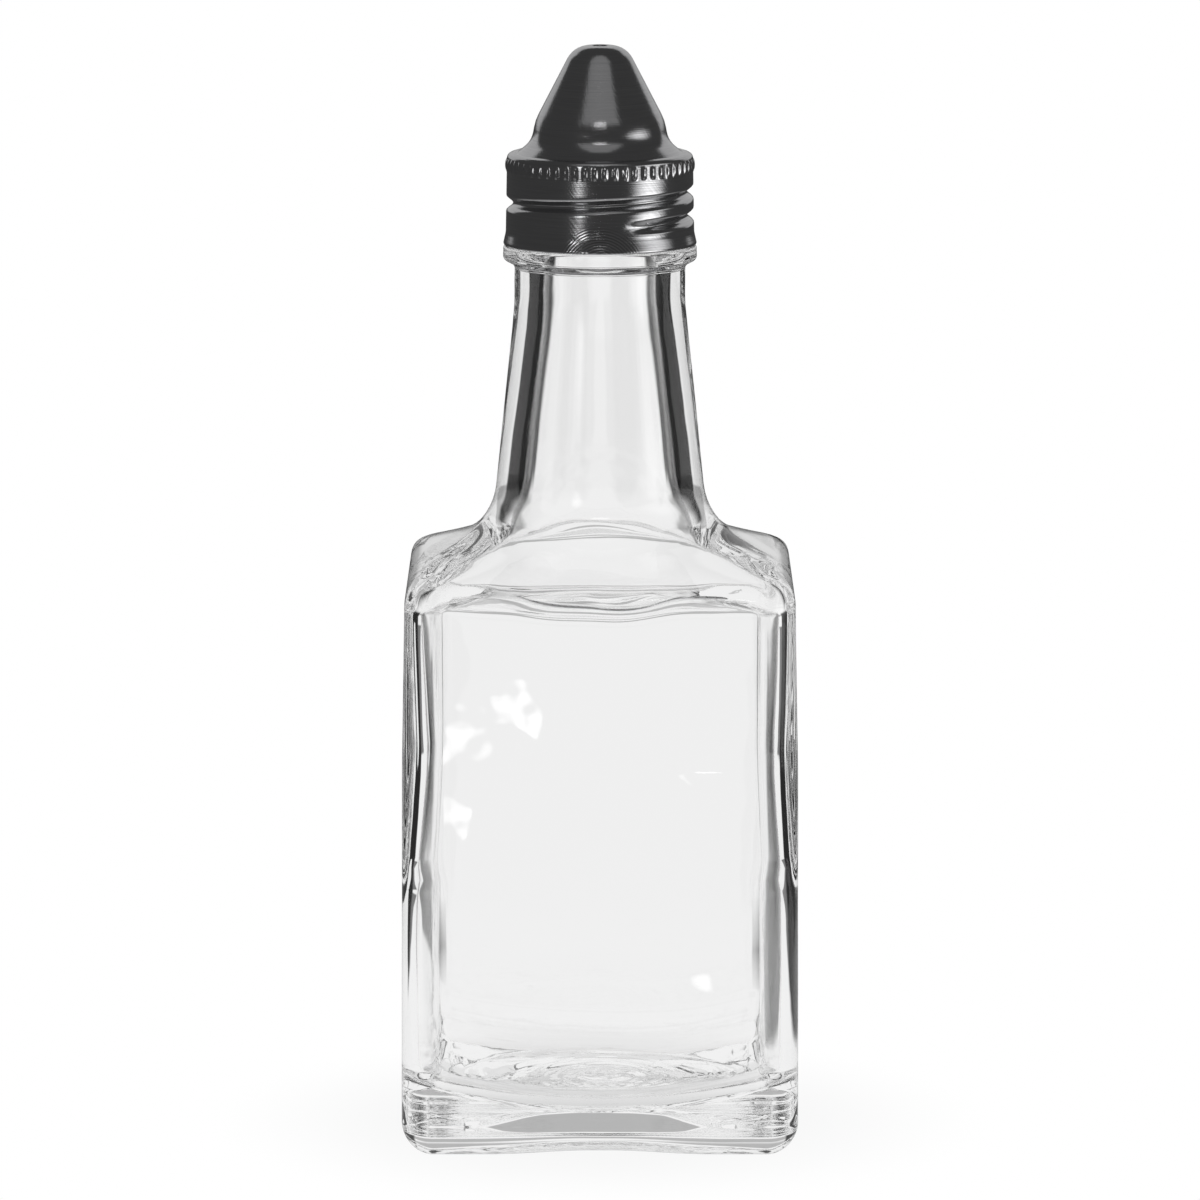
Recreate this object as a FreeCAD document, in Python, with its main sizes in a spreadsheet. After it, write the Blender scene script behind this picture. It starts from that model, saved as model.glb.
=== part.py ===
import FreeCAD, Part
import math
import os

import Sketcher

# Table cruet for oil or vinegar: a square glass bottle with a round screw neck, a cone-shaped pouring cap
# of rolled stainless sheet, and the sealing ring inside the cap.
# Millimetres, +Z up. The origin is on the bottle's axis, in the plane that it stands on; the flat faces of
# the body look along X and Y.

document = FreeCAD.newDocument("cruet")

# ---------------------------------------------------------------------------------------------------------
# Driving dimensions
# ---------------------------------------------------------------------------------------------------------
DIMENSIONS = {
    # glass body
    "body_width": 57.0,
    "body_corner": 4.2,
    "heel_radius": 4.0,
    "glass_wall": 3.0,
    "floor_height": 6.0,
    "inner_heel": 4.0,
    "push_up_radius": 20.0,
    "push_up_crown_radius": 12.0,
    "push_up_depth": 1.6,
    # shoulder: four flat slopes, which round off into the neck
    "shoulder_height": 83.0,
    "shoulder_slope": 23.0,
    "shoulder_round": 4.0,
    "slope_top_outer": 13.0,
    "slope_top_inner": 10.0,
    "slope_top_flat": 0.1,
    # neck: a plain taper with a hollow sweep at its foot
    "neck_skirt_radius": 20.5,
    "neck_skirt_height": 86.0,
    "neck_foot_radius": 16.1,
    "neck_foot_height": 88.6,
    "neck_foot_round": 8.5,
    "neck_top_radius": 12.4,
    "neck_top_height": 121.5,
    # bore of the neck, and its mouth into the body
    "bore_low_radius": 16.5,
    "bore_low_height": 84.4,
    "bore_foot_radius": 12.45,
    "bore_foot_height": 87.2,
    "bore_foot_round": 4.0,
    "bore_radius": 8.4,
    # collar under the cap
    "collar_bottom": 127.0,
    "collar_low_edge": 127.9,
    "collar_top": 129.7,
    "collar_radius": 14.1,
    "collar_round": 0.7,
    # screw finish of the glass
    "finish_radius": 11.9,
    "lip_height": 141.25,
    "lip_round": 0.9,
    "glass_thread_crest": 12.85,
    "glass_thread_root_width": 1.5,
    "glass_thread_crest_width": 0.7,
    "glass_thread_height": 134.54,
    "glass_thread_angle": 200.0,
    "glass_thread_turns": 1.3,
    "glass_thread_root_depth": 0.4,
    "thread_pitch": 3.4,
    # pouring cap; a drop or an inset is how far the inside of the sheet lies from the outside at a bend
    "sheet": 0.4,
    "tip_height": 158.9,
    "tip_radius": 3.7,
    "tip_round": 3.4,
    "tip_inset": 0.24,
    "pour_hole_radius": 1.5,
    "cone_foot_height": 148.5,
    "cone_foot_radius": 9.3,
    "cone_foot_round": 4.0,
    "cone_foot_drop": 0.1,
    "flare_height": 145.4,
    "flare_radius": 9.9,
    "flare_round": 1.5,
    "flare_drop": 0.2,
    "crease_height": 143.1,
    "crease_radius": 12.1,
    "crease_inset": 0.2,
    "rim_height": 143.35,
    "rim_radius": 13.55,
    "rim_round": 0.7,
    "band_bottom": 140.4,
    "skirt_radius": 13.7,
    "hem_height": 131.8,
    "hem_radius": 14.05,
    "skirt_bottom": 130.0,
    # rolled thread of the cap: a groove outside and a ridge inside
    "rolled_thread_height": 133.6,
    "rolled_thread_angle": 281.0,
    "rolled_thread_turns": 1.35,
    "rolled_thread_bottom": 12.65,
    "rolled_thread_inner": 12.28,
    "groove_mouth_width": 1.9,
    "groove_bottom_width": 0.8,
    "ridge_root_width": 2.1,
    "ridge_crest_width": 1.1,
    # knurled band under the rim
    "knurl_count": 58,
    "knurl_bottom": 140.6,
    "knurl_length": 1.7,
    "knurl_radius": 0.3,
    "knurl_place": 13.5,
    # sealing ring
    "gasket_inner": 8.9,
    "gasket_outer": 12.75,
    "gasket_thickness": 1.4,
    # how far a cutting shape goes past the face that it cuts through
    "cut_over": 1.0,
}
LEVEL = 1e-6  # an edge this low lies in the plane that the bottle stands on
LEAST_CHANGE = 0.1  # the least volume that a feature may add or cut

sheet = document.addObject("Spreadsheet::Sheet", "dims")
for row, (alias, number) in enumerate(DIMENSIONS.items(), start=1):
    sheet.set("A%d" % row, alias)
    sheet.set("B%d" % row, str(number))
    sheet.setAlias("B%d" % row, alias)
document.recompute()


# ---------------------------------------------------------------------------------------------------------
# Sketch and feature helpers
# ---------------------------------------------------------------------------------------------------------
def value_of(expression):
    """The number that an expression of the sheet's cells gives."""
    result = sheet.evalExpression(expression)
    return float(getattr(result, "Value", result))


def new_body(label):
    body = document.addObject("PartDesign::Body", label)
    body.Label = label
    body.Placement = FreeCAD.Placement()
    return body


def new_feature(body, kind, name, **settings):
    """A PartDesign feature with its properties; a text that names the sheet is bound as an expression."""
    feature = body.newObject("PartDesign::" + kind, name)
    for key, setting in settings.items():
        if isinstance(setting, str) and "dims." in setting:
            feature.setExpression(key, setting)
        else:
            setattr(feature, key, setting)
    return feature


def new_sketch(body, name, plane, height=None, turn=None):
    """An empty sketch on an origin plane of its own body, raised along Z or turned about Z."""
    sketch = body.newObject("Sketcher::SketchObject", name)
    support = next(item for item in body.Origin.OriginFeatures if item.Role == plane)
    sketch.AttachmentSupport = (support, [""])
    sketch.MapMode = "FlatFace"
    if height is not None:
        sketch.setExpression("AttachmentOffset.Base.z", height)
    if turn is not None:
        upright = FreeCAD.Rotation(FreeCAD.Vector(0, 1, 0), value_of(turn))
        sketch.AttachmentOffset = FreeCAD.Placement(FreeCAD.Vector(), upright)
        sketch.setExpression("AttachmentOffset.Rotation.Angle", turn)
    return sketch


def locate(sketch, geometry, vertex, across, along):
    """Bind a point of the sketch to two expressions; "0" keeps it on the sketch's own axis."""
    for kind, expression, axis in (("DistanceX", across, -2), ("DistanceY", along, -1)):
        if expression == "0":
            sketch.addConstraint(Sketcher.Constraint("PointOnObject", geometry, vertex, axis))
            continue
        distance = Sketcher.Constraint(kind, -1, 1, geometry, vertex, value_of(expression))
        index = sketch.addConstraint(distance)
        sketch.setExpression("Constraints[%d]" % index, expression)


def corner_arc(before, corner, after, radius):
    """The arc that rounds a corner: its geometry, where it starts and ends, and whether it turns left."""
    arrive = (before - corner).normalize()
    leave = (after - corner).normalize()
    half_angle = arrive.getAngle(leave) / 2
    enter = corner + arrive * (radius / math.tan(half_angle))
    depart = corner + leave * (radius / math.tan(half_angle))
    centre = corner + (arrive + leave).normalize() * (radius / math.sin(half_angle))
    turns_left = leave.cross(arrive).z > 0
    first, last = (enter, depart) if turns_left else (depart, enter)
    start_angle = math.atan2(first.y - centre.y, first.x - centre.x)
    end_angle = math.atan2(last.y - centre.y, last.x - centre.x)
    circle = Part.Circle(centre, FreeCAD.Vector(0, 0, 1), radius)
    return Part.ArcOfCircle(circle, start_angle, end_angle), enter, depart, turns_left


def draw_outline(sketch, corners):
    """A closed outline through its corners, each (across, along) or (across, along, radius) in expressions.

    A corner with a radius is the point where its two straight sides would meet.
    """
    points = [FreeCAD.Vector(value_of(corner[0]), value_of(corner[1]), 0) for corner in corners]
    count = len(points)
    arcs = {}
    for index, corner in enumerate(corners):
        if len(corner) == 3:
            after = points[(index + 1) % count]
            arcs[index] = corner_arc(points[index - 1], points[index], after, value_of(corner[2]))
    sides = []
    for index in range(count):
        following = (index + 1) % count
        start = arcs[index][2] if index in arcs else points[index]
        end = arcs[following][1] if following in arcs else points[following]
        sides.append(sketch.addGeometry(Part.LineSegment(start, end), False))
    for index, corner in enumerate(corners):
        arriving, leaving = sides[index - 1], sides[index]
        if index not in arcs:
            sketch.addConstraint(Sketcher.Constraint("Coincident", arriving, 2, leaving, 1))
            locate(sketch, leaving, 1, corner[0], corner[1])
            continue
        arc = sketch.addGeometry(arcs[index][0], False)
        enter_vertex, leave_vertex = (1, 2) if arcs[index][3] else (2, 1)
        sketch.addConstraint(Sketcher.Constraint("Tangent", arriving, 2, arc, enter_vertex))
        sketch.addConstraint(Sketcher.Constraint("Tangent", arc, leave_vertex, leaving, 1))
        meeting_point = sketch.addGeometry(Part.Point(points[index]), True)
        sketch.addConstraint(Sketcher.Constraint("PointOnObject", meeting_point, 1, arriving))
        sketch.addConstraint(Sketcher.Constraint("PointOnObject", meeting_point, 1, leaving))
        locate(sketch, meeting_point, 1, corner[0], corner[1])
        radius = sketch.addConstraint(Sketcher.Constraint("Radius", arc, value_of(corner[2])))
        sketch.setExpression("Constraints[%d]" % radius, corner[2])


def rounded_square(body, name, height, half_width, corner_radius):
    """A level square section with rounded corners, centred on the axis."""
    sketch = new_sketch(body, name, "XY_Plane", height=height)
    low = "-(%s)" % half_width
    corners = [(low, low), (half_width, low), (half_width, half_width), (low, half_width)]
    draw_outline(sketch, [corner + (corner_radius,) for corner in corners])
    return sketch


def half_section(body, name, corners, turn=None):
    """A sketch of one side of the axis: across is the radius, along is the height."""
    sketch = new_sketch(body, name, "XZ_Plane", turn=turn)
    draw_outline(sketch, corners)
    return sketch


def thread_section(body, name, thread, base_radius, base_width, tip_radius, tip_width):
    """A thread's section, a trapezium with its wide side at the base radius, where the thread starts."""
    height = "dims.%s_height" % thread
    corners = []
    for radius, width, side in (
        (base_radius, base_width, "-"),
        (tip_radius, tip_width, "-"),
        (tip_radius, tip_width, "+"),
        (base_radius, base_width, "+"),
    ):
        corners.append((radius, "%s %s (%s) / 2" % (height, side, width)))
    return half_section(body, name, corners, turn="dims.%s_angle" % thread)


def add_thread(body, kind, name, sketch, thread):
    return new_feature(
        body, kind, name,
        Profile=(sketch, [""]),
        ReferenceAxis=(sketch, ["V_Axis"]),
        Mode="pitch-turns-angle",
        Pitch="dims.thread_pitch",
        Turns="dims.%s_turns" % thread,
    )


def revolve(body, kind, name, sketch):
    upright = (sketch, ["V_Axis"])
    return new_feature(body, kind, name, Profile=(sketch, [""]), ReferenceAxis=upright, Angle=360)


def loft(body, kind, name, sections):
    """A loft with flat facets between its sections, which all have four sides and four corners."""
    return new_feature(
        body, kind, name,
        Profile=(sections[0], [""]),
        Sections=[(section, [""]) for section in sections[1:]],
        Ruled=True,
    )


# ---------------------------------------------------------------------------------------------------------
# Bottle
# ---------------------------------------------------------------------------------------------------------
SLOPE_START = "(dims.shoulder_height - dims.shoulder_round * tan(45 - dims.shoulder_slope / 2))"
ROUND_STEPS = (0, 0.5, 1)


def shoulder_sections(body, name, inset, top_half_width):
    """Sections over the shoulder's rounded edge and up its slope, inset by a wall from the outer glass."""
    half_width = "(dims.body_width / 2 - %s)" % inset
    radius = "(dims.shoulder_round - %s)" % inset
    corner = "(dims.body_corner - %s)" % inset
    sections = []
    for number, step in enumerate(ROUND_STEPS):
        angle = "(%g * (90 - dims.shoulder_slope))" % step
        height = "%s + %s * sin(%s)" % (SLOPE_START, radius, angle)
        width = "%s - %s * (1 - cos(%s))" % (half_width, radius, angle)
        sections.append(rounded_square(body, "%s_round_%d" % (name, number), height, width, corner))
    rise = "(dims.body_width / 2 - %s) * tan(dims.shoulder_slope)" % top_half_width
    height = "dims.shoulder_height + %s - %s / cos(dims.shoulder_slope)" % (rise, inset)
    corner = "%s - dims.slope_top_flat" % top_half_width
    sections.append(rounded_square(body, "%s_top" % name, height, top_half_width, corner))
    return sections


def make_glass_body(body):
    """The solid block of the body, with its rounded heel, and the sloping shoulder on it."""
    outline = rounded_square(body, "body_outline", "0", "dims.body_width / 2", "dims.body_corner")
    block = new_feature(body, "Pad", "body_block", Profile=(outline, [""]), Length=SLOPE_START)
    document.recompute()
    heel_edges = [
        "Edge%d" % (number + 1)
        for number, edge in enumerate(block.Shape.Edges)
        if edge.BoundBox.ZMax < LEVEL
    ]
    new_feature(body, "Fillet", "heel", Base=(block, heel_edges), Radius="dims.heel_radius")
    document.recompute()
    loft(body, "AdditiveLoft", "shoulder", shoulder_sections(body, "shoulder", "0", "dims.slope_top_outer"))


def make_glass_neck(body):
    """The tapered neck, the collar under the cap and the finish up to the lip, as one turned solid."""
    outline = half_section(body, "neck_outline", [
        ("0", "dims.shoulder_height"),
        ("dims.neck_skirt_radius", "dims.shoulder_height"),
        ("dims.neck_skirt_radius", "dims.neck_skirt_height"),
        ("dims.neck_foot_radius", "dims.neck_foot_height", "dims.neck_foot_round"),
        ("dims.neck_top_radius", "dims.neck_top_height"),
        ("dims.neck_top_radius", "dims.collar_bottom"),
        ("dims.collar_radius", "dims.collar_low_edge", "dims.collar_round"),
        ("dims.collar_radius", "dims.collar_top"),
        ("dims.finish_radius", "dims.collar_top"),
        ("dims.finish_radius", "dims.lip_height", "dims.lip_round"),
        ("0", "dims.lip_height"),
    ])
    revolve(body, "Revolution", "neck", outline)


def make_glass_hollow(body):
    """The square hollow of the body, the round bore of the neck and the hollow under the base."""
    inner_width = "(dims.body_width / 2 - dims.glass_wall)"
    inner_corner = "(dims.body_corner - dims.glass_wall)"
    sections = []
    for number, angle in enumerate((0, 45, 90)):
        height = "dims.floor_height + dims.inner_heel * (1 - cos(%d))" % angle
        width = "%s - dims.inner_heel * (1 - sin(%d))" % (inner_width, angle)
        sections.append(rounded_square(body, "floor_round_%d" % number, height, width, inner_corner))
    sections += shoulder_sections(body, "hollow", "dims.glass_wall", "dims.slope_top_inner")
    loft(body, "SubtractiveLoft", "hollow", sections)
    bore = half_section(body, "bore_outline", [
        ("0", "dims.bore_low_height"),
        ("dims.bore_low_radius", "dims.bore_low_height"),
        ("dims.bore_foot_radius", "dims.bore_foot_height", "dims.bore_foot_round"),
        ("dims.bore_radius", "dims.neck_top_height"),
        ("dims.bore_radius", "dims.lip_height + dims.cut_over"),
        ("0", "dims.lip_height + dims.cut_over"),
    ])
    revolve(body, "Groove", "bore", bore)
    push_up = half_section(body, "push_up_outline", [
        ("0", "-dims.cut_over"),
        ("dims.push_up_radius", "-dims.cut_over"),
        ("dims.push_up_radius", "0"),
        ("dims.push_up_crown_radius", "dims.push_up_depth"),
        ("0", "dims.push_up_depth"),
    ])
    revolve(body, "Groove", "push_up", push_up)


def make_bottle():
    body = new_body("bottle")
    make_glass_body(body)
    make_glass_neck(body)
    make_glass_hollow(body)
    section = thread_section(
        body, "glass_thread_section", "glass_thread",
        "(dims.finish_radius - dims.glass_thread_root_depth)", "dims.glass_thread_root_width",
        "dims.glass_thread_crest", "dims.glass_thread_crest_width",
    )
    add_thread(body, "AdditiveHelix", "glass_thread", section, "glass_thread")
    return body


# ---------------------------------------------------------------------------------------------------------
# Pouring cap
# ---------------------------------------------------------------------------------------------------------
def make_cap_shell(body):
    """The spun sheet: outside from the pour hole down to the hem, then back up the inside."""
    outline = half_section(body, "shell_outline", [
        ("dims.pour_hole_radius", "dims.tip_height"),
        ("dims.tip_radius", "dims.tip_height", "dims.tip_round"),
        ("dims.cone_foot_radius", "dims.cone_foot_height", "dims.cone_foot_round"),
        ("dims.flare_radius", "dims.flare_height", "dims.flare_round"),
        ("dims.crease_radius", "dims.crease_height"),
        ("dims.rim_radius", "dims.rim_height", "dims.rim_round"),
        ("dims.rim_radius", "dims.band_bottom"),
        ("dims.skirt_radius", "dims.hem_height"),
        ("dims.hem_radius", "dims.skirt_bottom"),
        ("dims.hem_radius - dims.sheet", "dims.skirt_bottom"),
        ("dims.skirt_radius - dims.sheet", "dims.hem_height"),
        ("dims.rim_radius - dims.sheet", "dims.band_bottom"),
        ("dims.rim_radius - dims.sheet", "dims.crease_height - dims.sheet"),
        ("dims.crease_radius - dims.crease_inset", "dims.crease_height - dims.sheet"),
        ("dims.flare_radius - dims.sheet", "dims.flare_height - dims.flare_drop"),
        ("dims.cone_foot_radius - dims.sheet", "dims.cone_foot_height - dims.cone_foot_drop"),
        ("dims.tip_radius - dims.tip_inset", "dims.tip_height - dims.sheet", "dims.tip_round - dims.sheet"),
        ("dims.pour_hole_radius", "dims.tip_height - dims.sheet"),
    ])
    revolve(body, "Revolution", "shell", outline)


def make_cap_thread(body):
    """The rolled thread: the sheet is pushed inward, so a ridge inside follows a groove outside."""
    ridge = thread_section(
        body, "ridge_section", "rolled_thread",
        "(dims.skirt_radius - dims.sheet / 2)", "dims.ridge_root_width",
        "dims.rolled_thread_inner", "dims.ridge_crest_width",
    )
    add_thread(body, "AdditiveHelix", "thread_ridge", ridge, "rolled_thread")
    groove = thread_section(
        body, "groove_section", "rolled_thread",
        "(dims.skirt_radius + dims.sheet / 2)", "dims.groove_mouth_width",
        "dims.rolled_thread_bottom", "dims.groove_bottom_width",
    )
    add_thread(body, "SubtractiveHelix", "thread_groove", groove, "rolled_thread")


def make_cap_knurl(body):
    """Upright ribs all round the band under the rim."""
    sketch = new_sketch(body, "rib_outline", "XY_Plane", height="dims.knurl_bottom")
    radius = value_of("dims.knurl_radius")
    centre = FreeCAD.Vector(value_of("dims.knurl_place"), 0, 0)
    circle = sketch.addGeometry(Part.Circle(centre, FreeCAD.Vector(0, 0, 1), radius), False)
    locate(sketch, circle, 3, "dims.knurl_place", "0")
    size = sketch.addConstraint(Sketcher.Constraint("Radius", circle, radius))
    sketch.setExpression("Constraints[%d]" % size, "dims.knurl_radius")
    rib = new_feature(body, "Pad", "rib", Profile=(sketch, [""]), Length="dims.knurl_length")
    document.recompute()
    ribs = new_feature(
        body, "PolarPattern", "ribs",
        Originals=[rib],
        Axis=(sketch, ["N_Axis"]),
        Angle=360,
        Occurrences="dims.knurl_count",
    )
    body.Tip = ribs


def make_pour_cap():
    body = new_body("pour_cap")
    make_cap_shell(body)
    make_cap_knurl(body)
    make_cap_thread(body)
    return body


# ---------------------------------------------------------------------------------------------------------
# Sealing ring
# ---------------------------------------------------------------------------------------------------------
def make_gasket():
    body = new_body("cap_gasket")
    outline = half_section(body, "gasket_outline", [
        ("dims.gasket_inner", "dims.lip_height"),
        ("dims.gasket_outer", "dims.lip_height"),
        ("dims.gasket_outer", "dims.lip_height + dims.gasket_thickness"),
        ("dims.gasket_inner", "dims.lip_height + dims.gasket_thickness"),
    ])
    revolve(body, "Revolution", "gasket", outline)
    return body


# ---------------------------------------------------------------------------------------------------------
# Build, check and write
# ---------------------------------------------------------------------------------------------------------
def check_document():
    """Stop if a feature failed to build."""
    for item in document.Objects:
        if {"Invalid", "Error"} & set(item.State):
            raise RuntimeError("%s: %s" % (item.Name, item.State))


def check_growth(body):
    """Stop if a feature of the body adds or cuts nothing."""
    previous = 0.0
    for feature in body.Group:
        if not feature.isDerivedFrom("PartDesign::Feature"):
            continue
        volume = feature.Shape.Volume
        if abs(volume - previous) < LEAST_CHANGE:
            raise RuntimeError("%s changes nothing" % feature.Name)
        print("  %-16s %10.1f mm3" % (feature.Name, volume))
        previous = volume


def write_parts(bodies):
    os.makedirs("parts", exist_ok=True)
    for body in bodies:
        shape = body.Shape
        print(body.Label)
        check_growth(body)
        if shape.isNull() or not shape.isValid() or len(shape.Solids) != 1:
            raise RuntimeError("%s isn't one valid solid" % body.Label)
        shape.exportStep("parts/%s.step" % body.Label)


subparts = [make_bottle(), make_pour_cap(), make_gasket()]
document.recompute()
check_document()
write_parts(subparts)
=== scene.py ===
import math

import bpy
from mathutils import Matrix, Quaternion, Vector, noise


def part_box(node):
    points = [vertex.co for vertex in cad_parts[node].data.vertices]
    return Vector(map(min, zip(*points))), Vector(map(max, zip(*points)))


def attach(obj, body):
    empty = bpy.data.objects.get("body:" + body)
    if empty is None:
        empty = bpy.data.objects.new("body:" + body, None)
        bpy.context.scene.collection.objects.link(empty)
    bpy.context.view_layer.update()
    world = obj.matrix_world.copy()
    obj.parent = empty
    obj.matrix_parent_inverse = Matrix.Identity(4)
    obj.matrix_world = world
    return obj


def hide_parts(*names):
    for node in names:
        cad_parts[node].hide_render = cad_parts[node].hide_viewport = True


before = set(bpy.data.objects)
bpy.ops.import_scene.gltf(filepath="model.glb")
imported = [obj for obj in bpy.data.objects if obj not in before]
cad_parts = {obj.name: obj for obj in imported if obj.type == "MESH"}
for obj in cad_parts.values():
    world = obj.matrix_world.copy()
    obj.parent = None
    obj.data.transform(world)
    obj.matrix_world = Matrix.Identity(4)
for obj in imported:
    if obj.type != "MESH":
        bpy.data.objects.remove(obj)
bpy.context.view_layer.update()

# Table cruet: a square clear-glass bottle, a spun steel pouring cap and its sealing ring.
# Shapes are worked out in millimetres, on the CAD model's axis, and become metres when a mesh is made.
MM = 0.001
scene = bpy.context.scene


# ---------------------------------------------------------------------------------------------------------
# Sizes from the frame
# ---------------------------------------------------------------------------------------------------------
def node_box(node):
    low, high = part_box(node)
    return [value / MM for value in low], [value / MM for value in high]


_, bottle_high = node_box("bottle")
cap_low, cap_high = node_box("pour_cap")
ring_low, ring_high = node_box("cap_gasket")

BODY = bottle_high[0]  # half the width of the body
LIP = bottle_high[2]
TIP = cap_high[2]
SKIRT = cap_low[2]
THREAD_PITCH = 3.4


# ---------------------------------------------------------------------------------------------------------
# Curves
# ---------------------------------------------------------------------------------------------------------
def smooth_step(low, high, value):
    """0 below low, 1 above high and a smooth rise between."""
    share = min(max((value - low) / (high - low), 0.0), 1.0)
    return share * share * (3 - 2 * share)


def bell(distance, half_width):
    """A smooth hump: 1 at distance 0 and 0 from half_width on."""
    return 1 - smooth_step(0, half_width, abs(distance))


def rounded_path(corners, step, turn_step=7.5):
    """Points along straight runs whose corners are rounded.

    Each corner is (across, height, radius). Runs are cut to about step, and arcs every turn_step degrees.
    """
    points = []
    for index, (across, height, radius) in enumerate(corners):
        corner = Vector((across, height))
        if radius == 0 or index in (0, len(corners) - 1):
            arc = [corner]
        else:
            before = (Vector(corners[index - 1][:2]) - corner).normalized()
            after = (Vector(corners[index + 1][:2]) - corner).normalized()
            half_angle = before.angle(after) / 2
            centre = corner + (before + after).normalized() * (radius / math.sin(half_angle))
            start = corner + before * (radius / math.tan(half_angle)) - centre
            turn = start.angle_signed(corner + after * (radius / math.tan(half_angle)) - centre)
            count = max(2, math.ceil(abs(math.degrees(turn)) / turn_step))
            arc = []
            for part in range(count + 1):
                angle = math.atan2(start.y, start.x) - turn * part / count
                arc.append(centre + radius * Vector((math.cos(angle), math.sin(angle))))
        if points:
            run = arc[0] - points[-1]
            count = max(1, round(run.length / step))
            first = points[-1]
            points += [first + run * (part / count) for part in range(1, count)]
        points += arc
    return points


# ---------------------------------------------------------------------------------------------------------
# Meshes
# ---------------------------------------------------------------------------------------------------------
def make_object(name, points, faces, material, body, node):
    """A smooth-shaded piece from points in millimetres, which rides on a body and stands for a CAD node."""
    mesh = bpy.data.meshes.new(name)
    mesh.from_pydata([Vector(point) * MM for point in points], [], faces)
    mesh.polygons.foreach_set("use_smooth", [True] * len(mesh.polygons))
    mesh.materials.append(material)
    mesh.update()
    piece = bpy.data.objects.new(name, mesh)
    scene.collection.objects.link(piece)
    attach(piece, body)
    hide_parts(node)
    return piece


def ring_faces(rows, columns, closed):
    """Quads between neighbouring rings of a grid, each ring with the same number of columns."""
    faces = []
    for row in range(rows if closed else rows - 1):
        following = (row + 1) % rows
        for column in range(columns):
            beside = (column + 1) % columns
            faces.append((
                row * columns + column,
                row * columns + beside,
                following * columns + beside,
                following * columns + column,
            ))
    return faces


def cap_ends(points, faces, rows, columns):
    """Close both ends of an open stack of rings with a point in the middle of each."""
    for row, reverse in ((0, True), (rows - 1, False)):
        ring = range(row * columns, (row + 1) * columns)
        middle = sum((Vector(points[index]) for index in ring), Vector()) / columns
        points.append(middle)
        centre = len(points) - 1
        for column in range(columns):
            here = row * columns + column
            beside = row * columns + (column + 1) % columns
            faces.append((centre, beside, here) if reverse else (centre, here, beside))


# ---------------------------------------------------------------------------------------------------------
# Glass bottle
# ---------------------------------------------------------------------------------------------------------
CORNER = 4.2
HEEL = 5.0
WALL = 2.6
FLOOR = 6.0
INSIDE = BODY - WALL
INNER_CORNER = 3.6
LOW_THINNING = 0.9  # how much thinner the wall is low down
SHOULDER = 83.0
SLOPE = math.tan(math.radians(27))
ROUND_OUTSIDE = 17.5  # level sections of the outside whose half width is below this are circles
ROUND_INSIDE = 14.0  # the same for the inside
PUSH_UP = 20.0
FLOOR_EDGE = 20.5  # the rings of the inside floor lie closer together within this radius
BOWL_EDGE = 20.5  # outside this radius the inside floor rises to the corners
BOWL_SLOPE = 0.3
COLLAR_EDGE = SKIRT - 0.2
COLLAR_TOP = SKIRT - 0.15
FINISH = 11.9  # radius of the screw finish, without its thread
LIP_CROWN = 10.2  # radius of the highest ring of the lip
EDGE_LIFT = 0.6  # how far the middle of each bottom edge is raised
THREAD_RELIEF = 0.95  # how far the glass thread stands out

# Threads: the angle where they start in degrees, the height where they start and their turns
GLASS_THREAD = (200.0, 134.54, 1.3)
ROLLED_THREAD = (281.0, 133.6, 1.35)


def column_angles():
    """Angles of the columns round the axis, closer together at the four corners than on the flat faces."""
    flat_columns, corner_columns = 36, 34
    half_flat = math.degrees(math.atan2(BODY - CORNER, BODY))
    angles = []
    for side in range(4):
        for part in range(flat_columns):
            angles.append(side * 90 - half_flat + 2 * half_flat * part / flat_columns)
        for part in range(corner_columns):
            angles.append(side * 90 + half_flat + (90 - 2 * half_flat) * part / corner_columns)
    return [math.radians(angle) for angle in angles]


def from_face(angle):
    """How far a direction is turned from the middle of the nearest flat face, up to pi / 4 at a corner."""
    return abs((angle + math.pi / 4) % (math.pi / 2) - math.pi / 4)


def square_radius(angle, half_width, corner):
    """Distance from the axis to a rounded square in a direction; a circle when corner equals half_width."""
    turned = from_face(angle)
    along, across = math.cos(turned), math.sin(turned)
    centre = half_width - corner
    if half_width * across / along <= centre:
        return half_width / along
    reach = centre * (along + across)
    return reach + math.sqrt(max(corner * corner - (centre * (across - along)) ** 2, 0.0))


def blend(first, second, share):
    return first + (second - first) * share


def section_corner(half_width, height, widest, corner, round_width):
    """The corner radius of a level section: as given at its widest, a full circle inside round_width."""
    if height > SHOULDER / 2:
        share = (widest - half_width) / (widest - round_width)
        return blend(corner, half_width, min(max(share, 0.0), 1.0))
    offset_corner = max(corner - (widest - half_width), 0.5)
    share = 1 - smooth_step(round_width, widest - HEEL + 0.5, half_width)
    return blend(min(offset_corner, half_width), half_width, share)


def outer_path():
    """(half width, height) from the middle of the underside, up the outside, to the lip's crown."""
    top = BODY - 0.4
    foot = 15.7
    body = [
        (0.8, 1.6, 0),
        (PUSH_UP * 0.6, 1.5, 12),
        (PUSH_UP, 0.0, 1.5),
        (BODY + 0.25, 0.0, HEEL),
        (BODY, 57.0, 60),
        (top, SHOULDER, 4.2),
        (foot, SHOULDER + (top - foot) * SLOPE, 10.0),
        (12.45, 121.0, 40),
        (12.4, 127.0, 1.0),
        (14.1, 127.9, 0.7),
        (14.05, COLLAR_EDGE, 0.3),
        (FINISH, COLLAR_TOP, 0),
    ]
    finish = [(FINISH, COLLAR_TOP, 0), (FINISH, LIP, 1.0), (LIP_CROWN, LIP, 0)]
    return rounded_path(body, 1.6) + rounded_path(finish, 0.22)[1:]


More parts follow.
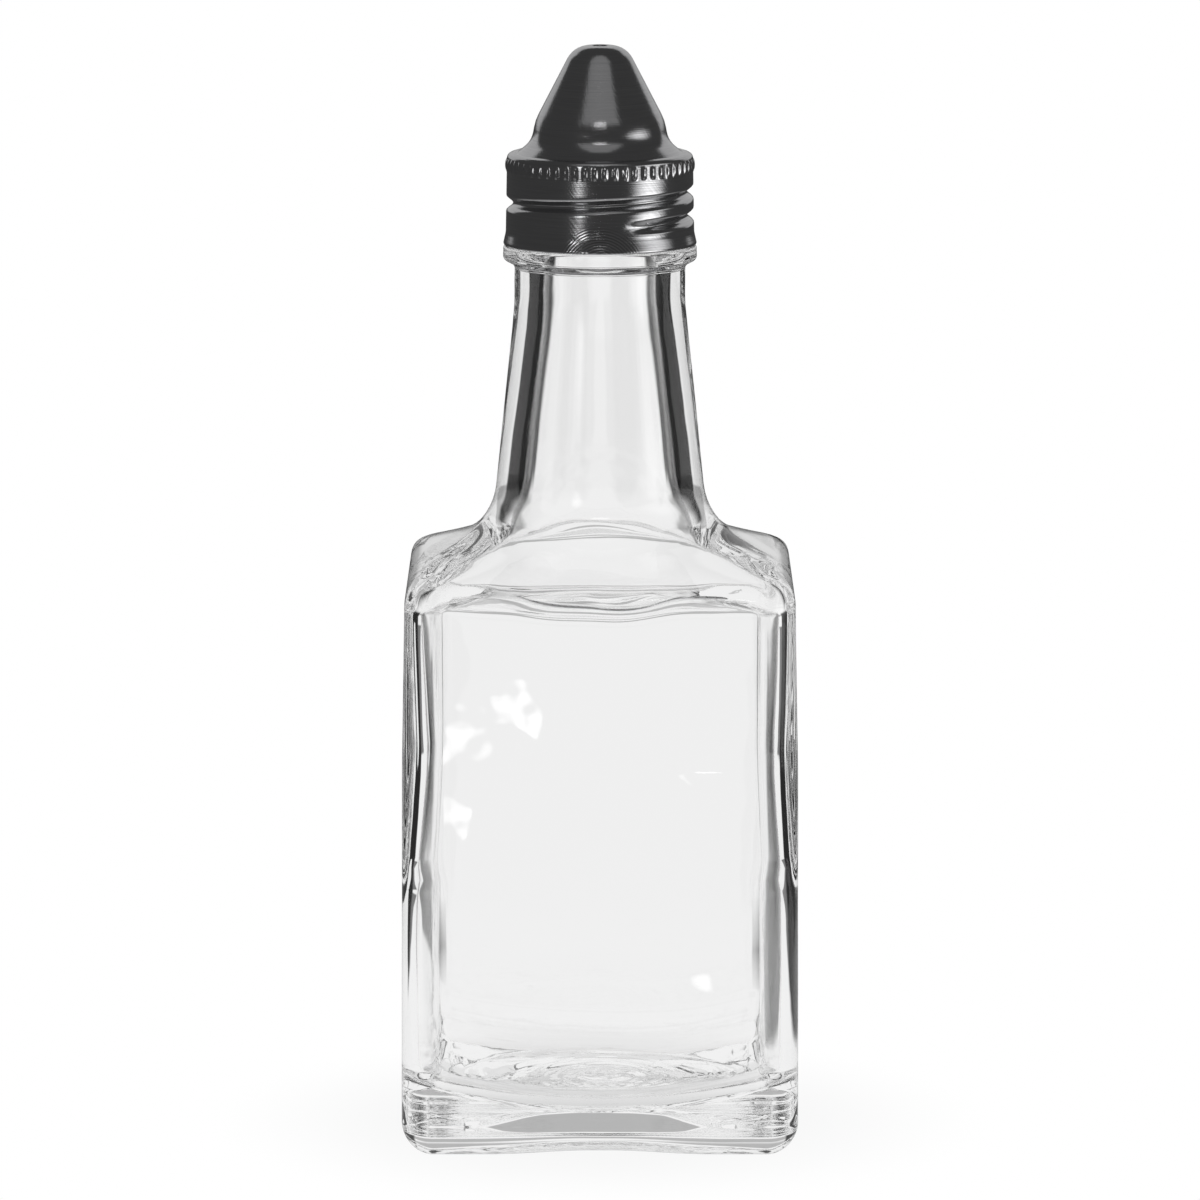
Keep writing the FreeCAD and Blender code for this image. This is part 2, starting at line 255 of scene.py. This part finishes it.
def inner_path():
    """(half width, height) from the lip's crown, down the bore and the inside, to the floor's middle."""
    wall = [
        (LIP_CROWN, LIP, 0),
        (8.4, LIP, 1.0),
        (8.1, 122.0, 60),
        (12.1, 88.2, 16),
        (INSIDE - 0.1, SHOULDER - 2.0, 3.4),
        (INSIDE, 60.0, 60),
        (INSIDE + LOW_THINNING, 38.0, 60),
        (INSIDE + LOW_THINNING, FLOOR, 3.0),
        (FLOOR_EDGE, FLOOR, 0),
    ]
    floor = [(FLOOR_EDGE, FLOOR, 0), (0.8, FLOOR + 0.6, 0)]
    return rounded_path(wall, 1.6) + rounded_path(floor, 0.3)[1:]


def helix_offset(angle, height, start_angle, start_height, turns):
    """(height above the nearest winding of a thread, share of the thread's length from its start)."""
    best = (1e9, 0.0)
    travelled = (math.degrees(angle) - start_angle) % 360
    while travelled <= turns * 360:
        offset = height - (start_height + THREAD_PITCH * travelled / 360)
        if abs(offset) < abs(best[0]):
            best = (offset, travelled / (turns * 360))
        travelled += 360
    return best


def thread_swell(angle, height, thread, half_width, fade):
    """Between 0 and 1: how far a smooth thread stands out here, fading in and out at its ends."""
    offset, share = helix_offset(angle, height, *thread)
    if abs(offset) >= half_width:
        return 0.0
    ends = smooth_step(0, fade, share) * smooth_step(0, fade, 1 - share)
    return bell(offset, half_width) * ends


def wander(x, y, height, size, seed):
    """Smooth noise between about -1 and 1, with swells of the given size in millimetres."""
    return noise.noise(Vector((x / size + seed, y / size, height / (1.4 * size)))) * 1.6


def outer_point(angle, half_width, height):
    corner = section_corner(half_width, height, BODY, CORNER, ROUND_OUTSIDE)
    radius = square_radius(angle, half_width, corner)
    if SKIRT < height < LIP - 1:
        radius += THREAD_RELIEF * thread_swell(angle, height, GLASS_THREAD, 0.85, 0.06)
    x, y = radius * math.cos(angle), radius * math.sin(angle)
    if HEEL < height < SHOULDER - 4:
        radius += 0.05 * wander(x, y, height, 16, 3.1)
    on_neck = smooth_step(SHOULDER + 8, SHOULDER + 20, height) * (1 - smooth_step(125, 126, height))
    under_collar = smooth_step(118, 123, height)
    radius += on_neck * (0.03 + 0.05 * under_collar) * wander(x, y, height, 9 - 5 * under_collar, 4.4)
    if height < HEEL and half_width > PUSH_UP:
        towards_corner = from_face(angle) / (math.pi / 4)
        height += EDGE_LIFT * (1 - smooth_step(0.1, 0.75, towards_corner)) * (1 - height / HEEL)
    return radius * math.cos(angle), radius * math.sin(angle), height


def inner_point(angle, half_width, height):
    corner = section_corner(half_width, height, INSIDE, INNER_CORNER, ROUND_INSIDE)
    radius = square_radius(angle, half_width, corner)
    x, y = radius * math.cos(angle), radius * math.sin(angle)
    in_body = smooth_step(FLOOR, FLOOR + 8, height) * (1 - smooth_step(SHOULDER, SHOULDER + 20, height))
    radius += (0.05 + 0.22 * in_body) * wander(x, y, height, 22, 7.7) * smooth_step(2, 10, half_width)
    above_walls = smooth_step(66, SHOULDER - 3, height)
    at_shoulder = above_walls * (1 - smooth_step(SHOULDER - 1, SHOULDER + 8, height))
    sag = at_shoulder * (1.5 * math.cos(2 * angle) ** 2 + 0.35 * wander(x, y, 0, 9, 5.2))
    bowl = BOWL_SLOPE * max(radius - BOWL_EDGE, 0.0) * (1 - smooth_step(FLOOR + 1, FLOOR + 9, height))
    if height < FLOOR + 2:
        bend = wander(x, y, 0, 13, 1.3)
        along, across = math.cos(angle), math.sin(angle)
        broad = noise.noise(Vector((half_width / 2.4 + bend, 1.4 * along, 1.4 * across)))
        fine = noise.noise(Vector((half_width / 0.6 + 3 * bend, 1.1 * along, 1.1 * across + 5)))
        swirl = 0.24 * broad + 0.1 * fine + 0.1 * bend
        height += swirl * smooth_step(0, 4, half_width) * (1 - smooth_step(19, 23, half_width))
    return radius * math.cos(angle), radius * math.sin(angle), height + bowl - sag


def make_bottle(material):
    angles = column_angles()
    points = []
    rows = 0
    for path, place in ((outer_path(), outer_point), (inner_path()[1:], inner_point)):
        for half_width, height in path:
            points += [place(angle, half_width, height) for angle in angles]
            rows += 1
    faces = ring_faces(rows, len(angles), closed=False)
    cap_ends(points, faces, rows, len(angles))
    return make_object("bottle_glass", points, faces, material, "bottle", "bottle")


# ---------------------------------------------------------------------------------------------------------
# Steel pouring cap
# ---------------------------------------------------------------------------------------------------------
SHEET = 0.4
HEM_BULGE = 0.6 * SHEET  # how far the rounded edge of the hem goes below the end of the outside
RIBS = 58
RIB_BOTTOM = 140.7
RIB_LENGTH = 1.8
RIB_HEIGHT = 0.25
RIB_SHARE = 0.3  # half the width of a rib, as a share of the spacing
GROOVE_DEPTH = 1.02


def cap_path():
    """The outside of the cap, (radius, height) from the pour hole down to the hem."""
    corners = [
        (1.3, TIP, 0),
        (3.75, TIP, 3.5),
        (9.4, 148.0, 7.0),
        (9.95, 145.0, 3.5),
        (12.1, 143.25, 0.15),
        (12.4, 143.45, 0.4),
        (13.5, 143.1, 0.7),
        (13.55, 140.5, 2),
        (13.7, 131.8, 3),
        (14.05, SKIRT + HEM_BULGE, 0),
    ]
    return rounded_path(corners, 0.25, 9)


def offset_path(path, distance):
    """The path moved sideways by a distance, to the left of its direction when that is positive."""
    moved = []
    for index, point in enumerate(path):
        along = (path[min(index + 1, len(path) - 1)] - path[max(index - 1, 0)]).normalized()
        moved.append(point + distance * Vector((-along.y, along.x)))
    return moved


def rim_arc(first, last, bulge):
    """Points between the ends of a half circle, which joins the edges of the sheet's two skins."""
    middle = (first + last) / 2
    arm = first - middle
    push = bulge * arm.length
    turns = (math.pi / 4, math.pi / 2, math.pi * 3 / 4)
    return [middle + arm * math.cos(turn) + push * math.sin(turn) for turn in turns]


def cap_point(angle, radius, height):
    groove = thread_swell(angle, height, ROLLED_THREAD, 1.15, 0.07)
    radius -= GROOVE_DEPTH * groove * smooth_step(11.5, 12.8, radius)
    rib_middle = RIB_BOTTOM + RIB_LENGTH / 2
    upright = 1 - ((height - rib_middle) / (RIB_LENGTH / 2)) ** 2
    if upright > 0 and radius > 12.5:
        spacing = 2 * math.pi / RIBS
        aside = abs((angle + spacing / 2) % spacing - spacing / 2) / (spacing * RIB_SHARE)
        swell = max(0.0, 1 - aside * aside)
        radius += RIB_HEIGHT * math.sqrt(upright) * swell
    return radius * math.cos(angle), radius * math.sin(angle), height


def make_cap(material):
    outside = cap_path()
    inside = offset_path(outside, -SHEET)
    hole_edge = rim_arc(inside[0], outside[0], Vector((-1, 0)))
    hem_edge = rim_arc(outside[-1], inside[-1], Vector((0, -1)))
    path = outside + hem_edge + inside[::-2] + hole_edge
    columns = RIBS * 12
    angles = [2 * math.pi * column / columns for column in range(columns)]
    points = [cap_point(angle, radius, height) for radius, height in path for angle in angles]
    faces = ring_faces(len(path), columns, closed=True)
    return make_object("pour_cap_steel", points, faces, material, "cap", "pour_cap")


# ---------------------------------------------------------------------------------------------------------
# Sealing ring
# ---------------------------------------------------------------------------------------------------------
def make_ring(material):
    """A flat washer with softened edges. Its path starts and ends in the middle of the underside."""
    inner_radius, outer_radius = 8.9, ring_high[0]
    low, high = ring_low[2], ring_high[2]
    edge = 0.3
    start = ((inner_radius + outer_radius) / 2, low, 0)
    corners = [
        start,
        (outer_radius, low, edge),
        (outer_radius, high, edge),
        (inner_radius, high, edge),
        (inner_radius, low, edge),
        start,
    ]
    path = rounded_path(corners, 0.4, 18)[:-1]
    columns = 180
    angles = [2 * math.pi * column / columns for column in range(columns)]
    points = [
        (radius * math.cos(angle), radius * math.sin(angle), height)
        for radius, height in path
        for angle in angles
    ]
    faces = ring_faces(len(path), columns, closed=True)
    return make_object("sealing_ring", points, faces, material, "seal", "cap_gasket")


# ---------------------------------------------------------------------------------------------------------
# Materials: lengths are in metres here, and noise scales are in swells to a metre
# ---------------------------------------------------------------------------------------------------------
ARC_SPACING = 0.0004


class Nodes:
    """Short calls for building a node tree."""

    def __init__(self, tree):
        self.tree = tree
        tree.nodes.clear()

    def add(self, kind, **settings):
        node = self.tree.nodes.new(kind)
        for key, value in settings.items():
            if key in node.inputs.keys():
                node.inputs[key].default_value = value
            else:
                setattr(node, key, value)
        return node

    def join(self, source, target):
        self.tree.links.new(source, target)

    def feed(self, value, socket):
        """Set a socket to a number, or join another node's output to it."""
        if isinstance(value, (int, float)):
            socket.default_value = value
        else:
            self.join(value, socket)

    def math(self, operation, *values):
        node = self.add("ShaderNodeMath", operation=operation)
        for socket, value in zip(node.inputs, values):
            self.feed(value, socket)
        return node.outputs[0]

    def squares(self, x, y):
        """x squared plus y squared."""
        return self.math("ADD", self.math("MULTIPLY", x, x), self.math("MULTIPLY", y, y))

    def largest(self, first, *others):
        for other in others:
            first = self.math("MAXIMUM", first, other)
        return first

    def ramp(self, value, low, high, out_low=0.0, out_high=1.0, smooth=True):
        node = self.add("ShaderNodeMapRange", interpolation_type="SMOOTHSTEP" if smooth else "LINEAR")
        self.join(value, node.inputs["Value"])
        limits = {"From Min": low, "From Max": high, "To Min": out_low, "To Max": out_high}
        for key, number in limits.items():
            node.inputs[key].default_value = number
        return node.outputs["Result"]

    def mix(self, factor, first, second):
        """A number: first where the factor is 0 and second where it is 1."""
        node = self.add("ShaderNodeMix", data_type="FLOAT")
        for key, value in (("Factor", factor), ("A", first), ("B", second)):
            self.feed(value, node.inputs[key])
        return node.outputs["Result"]

    def tone(self, factor, first, second):
        """A colour: first where the factor is 0 and second where it is 1."""
        node = self.add("ShaderNodeMix", data_type="RGBA")
        node.inputs["A"].default_value = first
        node.inputs["B"].default_value = second
        self.join(factor, node.inputs["Factor"])
        return node.outputs["Result"]

    def noise(self, vector, scale, detail):
        node = self.add("ShaderNodeTexNoise", Scale=scale, Detail=detail)
        self.join(vector, node.inputs["Vector"])
        return node.outputs["Fac"]

    def bump(self, height, strength, distance):
        node = self.add("ShaderNodeBump", Strength=strength, Distance=distance)
        self.join(height, node.inputs["Height"])
        return node.outputs["Normal"]

    def place(self):
        """The place on the object, in its own metres."""
        return self.add("ShaderNodeTexCoord").outputs["Object"]

    def apart(self, vector):
        node = self.add("ShaderNodeSeparateXYZ")
        self.join(vector, node.inputs["Vector"])
        return node.outputs


def new_tree(name):
    material = bpy.data.materials.new(name)
    material.use_nodes = True
    nodes = Nodes(material.node_tree)
    return material, nodes, nodes.add("ShaderNodeOutputMaterial")


def new_material(name):
    material, nodes, output = new_tree(name)
    shader = nodes.add("ShaderNodeBsdfPrincipled")
    nodes.join(shader.outputs["BSDF"], output.inputs["Surface"])
    return material, nodes, shader


def glass_material():
    """Clear soda glass: polished, with the faint long swells of a blown surface."""
    material, nodes, shader = new_material("clear_glass")
    shader.inputs["Base Color"].default_value = (1, 1, 1, 1)
    shader.inputs["Transmission Weight"].default_value = 1.0
    shader.inputs["IOR"].default_value = 1.5
    place = nodes.place()
    smear = nodes.noise(place, 90.0, 3.0)
    nodes.join(nodes.ramp(smear, 0.5, 0.75, 0.0, 0.02), shader.inputs["Roughness"])
    swell = nodes.noise(place, 140.0, 1.0)
    nodes.join(nodes.bump(swell, 0.04, 0.001), shader.inputs["Normal"])
    return material


def steel_material():
    """Spun stainless: bright, with turning marks round the axis and slanting scratches over them.

    Fine arcs lie round a point at the front of the hem: ridges in the bump, and a painted reflection of the
    turning marks in the colour.
    """
    material, nodes, shader = new_material("spun_steel")
    shader.inputs["Metallic"].default_value = 1.0
    place = nodes.place()
    x, y, z = nodes.apart(place)
    radius = nodes.math("SQRT", nodes.squares(x, y))
    turned = nodes.add("ShaderNodeCombineXYZ")
    nodes.join(nodes.math("MULTIPLY", x, 0.02), turned.inputs["X"])
    nodes.join(nodes.math("MULTIPLY", y, 0.02), turned.inputs["Y"])
    nodes.join(nodes.math("SUBTRACT", z, nodes.math("MULTIPLY", radius, 0.6)), turned.inputs["Z"])
    marks = nodes.noise(turned.outputs["Vector"], 6000.0, 3.0)
    twist = nodes.add("ShaderNodeVectorRotate", rotation_type="Z_AXIS")
    nodes.join(place, twist.inputs["Vector"])
    nodes.join(nodes.math("MULTIPLY", z, 60.0), twist.inputs["Angle"])
    drawn = nodes.add("ShaderNodeMapping")
    drawn.inputs["Scale"].default_value = (1.0, 1.0, 0.05)
    nodes.join(twist.outputs["Vector"], drawn.inputs["Vector"])
    scratches = nodes.noise(drawn.outputs["Vector"], 2600.0, 3.0)
    worn = nodes.ramp(nodes.noise(place, 130.0, 4.0), 0.35, 0.7, 0.11, 0.16)
    roughness = nodes.math("ADD", worn, nodes.math("MULTIPLY", scratches, 0.06))
    nodes.join(roughness, shader.inputs["Roughness"])
    reach = nodes.add("ShaderNodeVectorMath", operation="DISTANCE")
    nodes.join(place, reach.inputs[0])
    reach.inputs[1].default_value = (0.0, -cap_high[0] * MM, (SKIRT - 2.5) * MM)
    away = reach.outputs["Value"]
    # Arcs round a point at the front of the hem: fine ridges in the bump, and a painted reflection in the
    # colour.
    arc_ridges_and_painted_reflection = nodes.math("SINE", nodes.math("MULTIPLY", away, 2 * math.pi / ARC_SPACING))
    arc_ridges_and_painted_reflection = nodes.math("MULTIPLY", arc_ridges_and_painted_reflection, nodes.ramp(away, 0.003, 0.007, 4.0, 0.0))
    # The colour's tone: the turning marks, plus the painted reflection of the arcs.
    mark_tone_and_painted_reflection = nodes.math("ADD", marks, nodes.math("MULTIPLY", arc_ridges_and_painted_reflection, 0.5))
    colour = nodes.tone(mark_tone_and_painted_reflection, (0.49, 0.49, 0.50, 1), (0.67, 0.67, 0.68, 1))
    nodes.join(colour, shader.inputs["Base Color"])
    height = nodes.math("ADD", marks, nodes.math("MULTIPLY", scratches, 1.2))
    height = nodes.math("ADD", height, arc_ridges_and_painted_reflection)
    nodes.join(nodes.bump(height, 0.11, 0.0001), shader.inputs["Normal"])
    return material


def rubber_material():
    """Off-white rubber with a dusty, faintly mottled skin."""
    material, nodes, shader = new_material("seal_rubber")
    grain = nodes.noise(nodes.place(), 900.0, 4.0)
    colour = nodes.tone(grain, (0.62, 0.61, 0.58, 1), (0.74, 0.73, 0.70, 1))
    nodes.join(colour, shader.inputs["Base Color"])
    nodes.join(nodes.ramp(grain, 0.3, 0.7, 0.55, 0.75), shader.inputs["Roughness"])
    nodes.join(nodes.bump(grain, 0.2, 0.0001), shader.inputs["Normal"])
    return material


# ---------------------------------------------------------------------------------------------------------
# Studio
# ---------------------------------------------------------------------------------------------------------
LIGHT = 0.9  # what shows through glass along the lanes
DARK = 0.022  # what shows through glass between the lanes
ROOM = 0.055  # the dim room in reflections
FLOOR_SIZE = 6.0
FLOOR_DROP = 0.0001  # how far the floor lies below the bottle, so that their faces don't share a plane
FAR_LANE = 19.0  # degrees from square where a far lane begins to fade
SQUARE_STRIP = (0.032, 0.05)  # metres aside where a strip of the floor begins to fade and where it ends
DIAGONAL_STRIP = (0.05, 0.062)
STRIP_WIDENING = 0.05  # metres that a square strip gains aside for each metre ahead
BEHIND_LANE = (18, 24)  # degrees
WEDGE = (18, 26)
WEDGE_LIGHT = 0.2
LANES_CHANGE = (0.46, 0.54)  # distance at which the near lanes give way to the far ones
GLINT_LIGHT = 4.5
CARD_DISTANCE = 0.3
CARD_AIM = 0.13  # height of the point that the cards stand round
# Small bright patches of ground in front, which make the glints on the flat face.
# Each is x, y, half width and half length, in metres.
GLINTS = (
    (-0.019, -0.490, 0.0035, 0.022),
    (-0.027, -0.450, 0.0045, 0.030),
    (-0.0265, -0.320, 0.0015, 0.020),
    (0.0205, -0.362, 0.0020, 0.008),
    (0.017, -0.161, 0.0030, 0.012),
)
# The camera: lengths in metres, angle above level in degrees, focal length and sensor in millimetres
CAMERA_DISTANCE = 1.256
CAMERA_RISE = 9.2
CAMERA_AIM = 0.0775
CAMERA_LENS = 257.4
CAMERA_SENSOR = 36.0
LIGHT_BOUNCES = 40


def polar(nodes, vector):
    """(x, y, z, degrees from +Y whichever way round, horizontal distance from the axis) of a vector."""
    x, y, z = nodes.apart(vector)
    azimuth = nodes.math("MULTIPLY", nodes.math("ARCTAN2", nodes.math("ABSOLUTE", x), y), 180 / math.pi)
    return x, y, z, azimuth, nodes.math("SQRT", nodes.squares(x, y))


def window(nodes, value, low, high, soft):
    """1 while the value is between low and high, fading to 0 over a soft edge outside them."""
    above = nodes.ramp(value, low - soft, low, 0.0, 1.0)
    below = nodes.ramp(value, high, high + soft, 1.0, 0.0)
    return nodes.math("MULTIPLY", above, below)


def glowing_patch(nodes, level, azimuth, across, elevation, upward):
    """A bright patch of the room; across and upward are its low edge, high edge and softness in degrees."""
    inside = nodes.math("MULTIPLY", window(nodes, azimuth, *across), window(nodes, elevation, *upward))
    return nodes.math("MULTIPLY", inside, level)


def from_square(nodes, azimuth):
    """Degrees away from the nearest direction that is square to a face of the object."""
    return nodes.math("ABSOLUTE", nodes.math("WRAP", azimuth, 45.0, -45.0))


def far_lanes(nodes, azimuth):
    """Away from the object, bright lanes square to its faces, with dark ground between."""
    return nodes.ramp(from_square(nodes, azimuth), FAR_LANE, FAR_LANE + 5, LIGHT, DARK)


def near_lanes(nodes, azimuth, x, y):
    """Near the object, bright strips square to its faces and along one diagonal, with dark ground between.

    The lane behind it is bright too, and wedges round the square directions are dimly lit.
    """
    aside = nodes.math("MINIMUM", nodes.math("ABSOLUTE", x), nodes.math("ABSOLUTE", y))
    ahead = nodes.math("MAXIMUM", nodes.math("ABSOLUTE", x), nodes.math("ABSOLUTE", y))
    narrowed = nodes.math("SUBTRACT", aside, nodes.math("MULTIPLY", ahead, STRIP_WIDENING))
    square = nodes.ramp(narrowed, *SQUARE_STRIP, LIGHT, DARK)
    across_diagonal = nodes.math("ABSOLUTE", nodes.math("ADD", x, y))
    diagonal = nodes.ramp(across_diagonal, *DIAGONAL_STRIP, LIGHT, DARK)
    behind = nodes.ramp(azimuth, *BEHIND_LANE, LIGHT, DARK)
    wedges = nodes.ramp(from_square(nodes, azimuth), *WEDGE, WEDGE_LIGHT, DARK)
    return nodes.largest(behind, wedges, square, diagonal)


def by_ray(nodes, seen, through, reflected):
    """One level for what the camera sees, one for what shows through glass and one for reflections."""
    ray = nodes.add("ShaderNodeLightPath")
    level = nodes.mix(ray.outputs["Is Transmission Ray"], reflected, through)
    return nodes.mix(ray.outputs["Is Camera Ray"], level, seen)


def make_floor():
    """A pale floor, with painted shadow round and beneath the object. Glass shows its lanes; reflections
    show it dim, with a painted pool of light round the object and the glints' patches.
    """
    size, height = FLOOR_SIZE, -FLOOR_DROP
    corners = [(-size, -size, height), (size, -size, height), (size, size, height), (-size, size, height)]
    mesh = bpy.data.meshes.new("studio_floor")
    mesh.from_pydata(corners, [], [(0, 1, 2, 3)])
    floor = bpy.data.objects.new("studio_floor", mesh)
    scene.collection.objects.link(floor)
    material, nodes, output = new_tree("studio_floor")
    x, y, _, azimuth, distance = polar(nodes, nodes.place())
    # Seen directly, the floor is pale, with a faint painted shadow round the object's foot.
    seen = nodes.ramp(distance, 0.02, 0.06, 0.93, 1.0)
    # Through glass, a painted shadow darkens the floor under the object.
    painted_shadow_beneath = nodes.ramp(distance, 0.02, 0.04, 0.68, LIGHT)
    far_away = nodes.ramp(distance, *LANES_CHANGE)
    lanes = nodes.mix(far_away, near_lanes(nodes, azimuth, x, y), far_lanes(nodes, azimuth))
    through = nodes.math("MINIMUM", painted_shadow_beneath, lanes)
    # In reflections the floor is dim, with a painted pool of light round the object.
    reflected = nodes.ramp(distance, 0.05, 0.3, 0.5, ROOM)
    for middle_x, middle_y, half_width, half_length in GLINTS:
        right = nodes.math("DIVIDE", nodes.math("SUBTRACT", x, middle_x), half_width)
        back = nodes.math("DIVIDE", nodes.math("SUBTRACT", y, middle_y), half_length)
        patch = nodes.ramp(nodes.squares(right, back), 0.0, 1.0, GLINT_LIGHT, 0.0)
        reflected = nodes.largest(reflected, patch)
    glow = nodes.add("ShaderNodeEmission")
    nodes.join(by_ray(nodes, seen, through, reflected), glow.inputs["Strength"])
    nodes.join(glow.outputs["Emission"], output.inputs["Surface"])
    mesh.materials.append(material)


def make_world():
    """A pale room to look at. Reflections show it dim, with a canopy, a strip and a screen of light."""
    world = bpy.data.worlds.new("studio")
    world.use_nodes = True
    scene.world = world
    nodes = Nodes(world.node_tree)
    output = nodes.add("ShaderNodeOutputWorld")
    direction = nodes.add("ShaderNodeTexCoord").outputs["Generated"]
    _, _, height, azimuth, _ = polar(nodes, direction)
    elevation = nodes.math("MULTIPLY", nodes.math("ARCSINE", height), 180 / math.pi)
    from_front = nodes.math("SUBTRACT", 180.0, azimuth)
    low_sky = window(nodes, elevation, 6.5, 17, 2.5)
    dimmer = nodes.math("SUBTRACT", 1.0, nodes.math("MULTIPLY", low_sky, 0.5))
    lanes = nodes.math("MULTIPLY", far_lanes(nodes, azimuth), dimmer)
    through = nodes.largest(lanes, nodes.ramp(elevation, 16, 30, 0.0, LIGHT))
    canopy = glowing_patch(nodes, 0.24, from_front, (-1, 36, 14), elevation, (36, 80, 3))
    strip = glowing_patch(nodes, 2.5, from_front, (-1, 9, 4), elevation, (35, 37, 1))
    screen = glowing_patch(nodes, 0.5, azimuth, (-1, 44, 8), elevation, (4, 35, 5))
    reflected = nodes.largest(canopy, strip, screen, ROOM)
    background = nodes.add("ShaderNodeBackground", Color=(1, 1, 1, 1))
    nodes.join(by_ray(nodes, 1.0, through, reflected), background.inputs["Strength"])
    nodes.join(background.outputs["Background"], output.inputs["Surface"])


def soft_card(name, azimuth, elevation, width, height, level, lean=0):
    """A glowing card with soft edges, seen only in reflections.

    Its place, half size and lean are in degrees; the azimuth is from -Y towards +X.
    """
    turn, rise = math.radians(azimuth), math.radians(elevation)
    direction = Vector((math.sin(turn) * math.cos(rise), -math.cos(turn) * math.cos(rise), math.sin(rise)))
    mesh = bpy.data.meshes.new(name)
    mesh.from_pydata([(-1, -1, 0), (1, -1, 0), (1, 1, 0), (-1, 1, 0)], [], [(0, 1, 2, 3)])
    card = bpy.data.objects.new(name, mesh)
    card.location = Vector((0, 0, CARD_AIM)) + direction * CARD_DISTANCE
    upright = direction.to_track_quat("Z", "Y")
    card.rotation_euler = (upright @ Quaternion((0, 0, 1), math.radians(lean))).to_euler()
    card.scale = (CARD_DISTANCE * math.radians(width), CARD_DISTANCE * math.radians(height), 1)
    scene.collection.objects.link(card)
    material, nodes, output = new_tree(name)
    x, y, _ = nodes.apart(nodes.place())
    glow = nodes.add("ShaderNodeEmission")
    fall = nodes.math("POWER", nodes.ramp(nodes.squares(x, y), 0.0, 1.0, 1.0, 0.0, smooth=False), 2.0)
    nodes.join(nodes.math("MULTIPLY", fall, level), glow.inputs["Strength"])
    both = nodes.add("ShaderNodeAddShader")
    nodes.join(glow.outputs["Emission"], both.inputs[0])
    nodes.join(nodes.add("ShaderNodeBsdfTransparent").outputs["BSDF"], both.inputs[1])
    nodes.join(both.outputs["Shader"], output.inputs["Surface"])
    mesh.materials.append(material)
    for ray in ("camera", "transmission", "diffuse", "shadow", "volume_scatter"):
        setattr(card, "visible_" + ray, False)


def make_camera():
    """Square to the front face, looking down on it a little."""
    camera_data = bpy.data.cameras.new("camera")
    camera_data.sensor_width = CAMERA_SENSOR
    camera_data.lens = CAMERA_LENS
    camera_data.clip_end = 20
    camera = bpy.data.objects.new("camera", camera_data)
    rise = math.radians(CAMERA_RISE)
    back = Vector((0, -math.cos(rise), math.sin(rise)))
    camera.location = Vector((0, 0, CAMERA_AIM)) + CAMERA_DISTANCE * back
    camera.rotation_euler = (math.radians(90) - rise, 0, 0)
    scene.collection.objects.link(camera)
    scene.camera = camera


make_camera()
make_floor()
make_world()
soft_card("card_right", azimuth=62, elevation=-9, width=30, height=14, level=2.4)
soft_card("card_left", azimuth=-25, elevation=4, width=8, height=9, level=3.0, lean=25)
soft_card("card_spot", azimuth=69, elevation=11, width=34, height=13, level=1.2)
scene.view_settings.view_transform = "Standard"
# Light runs down inside the thick walls in many small reflections before it comes out again.
scene.cycles.max_bounces = LIGHT_BOUNCES
scene.cycles.transmission_bounces = LIGHT_BOUNCES
scene.cycles.glossy_bounces = LIGHT_BOUNCES

glass = glass_material()
steel = steel_material()
rubber = rubber_material()
make_bottle(glass)
make_cap(steel)
make_ring(rubber)
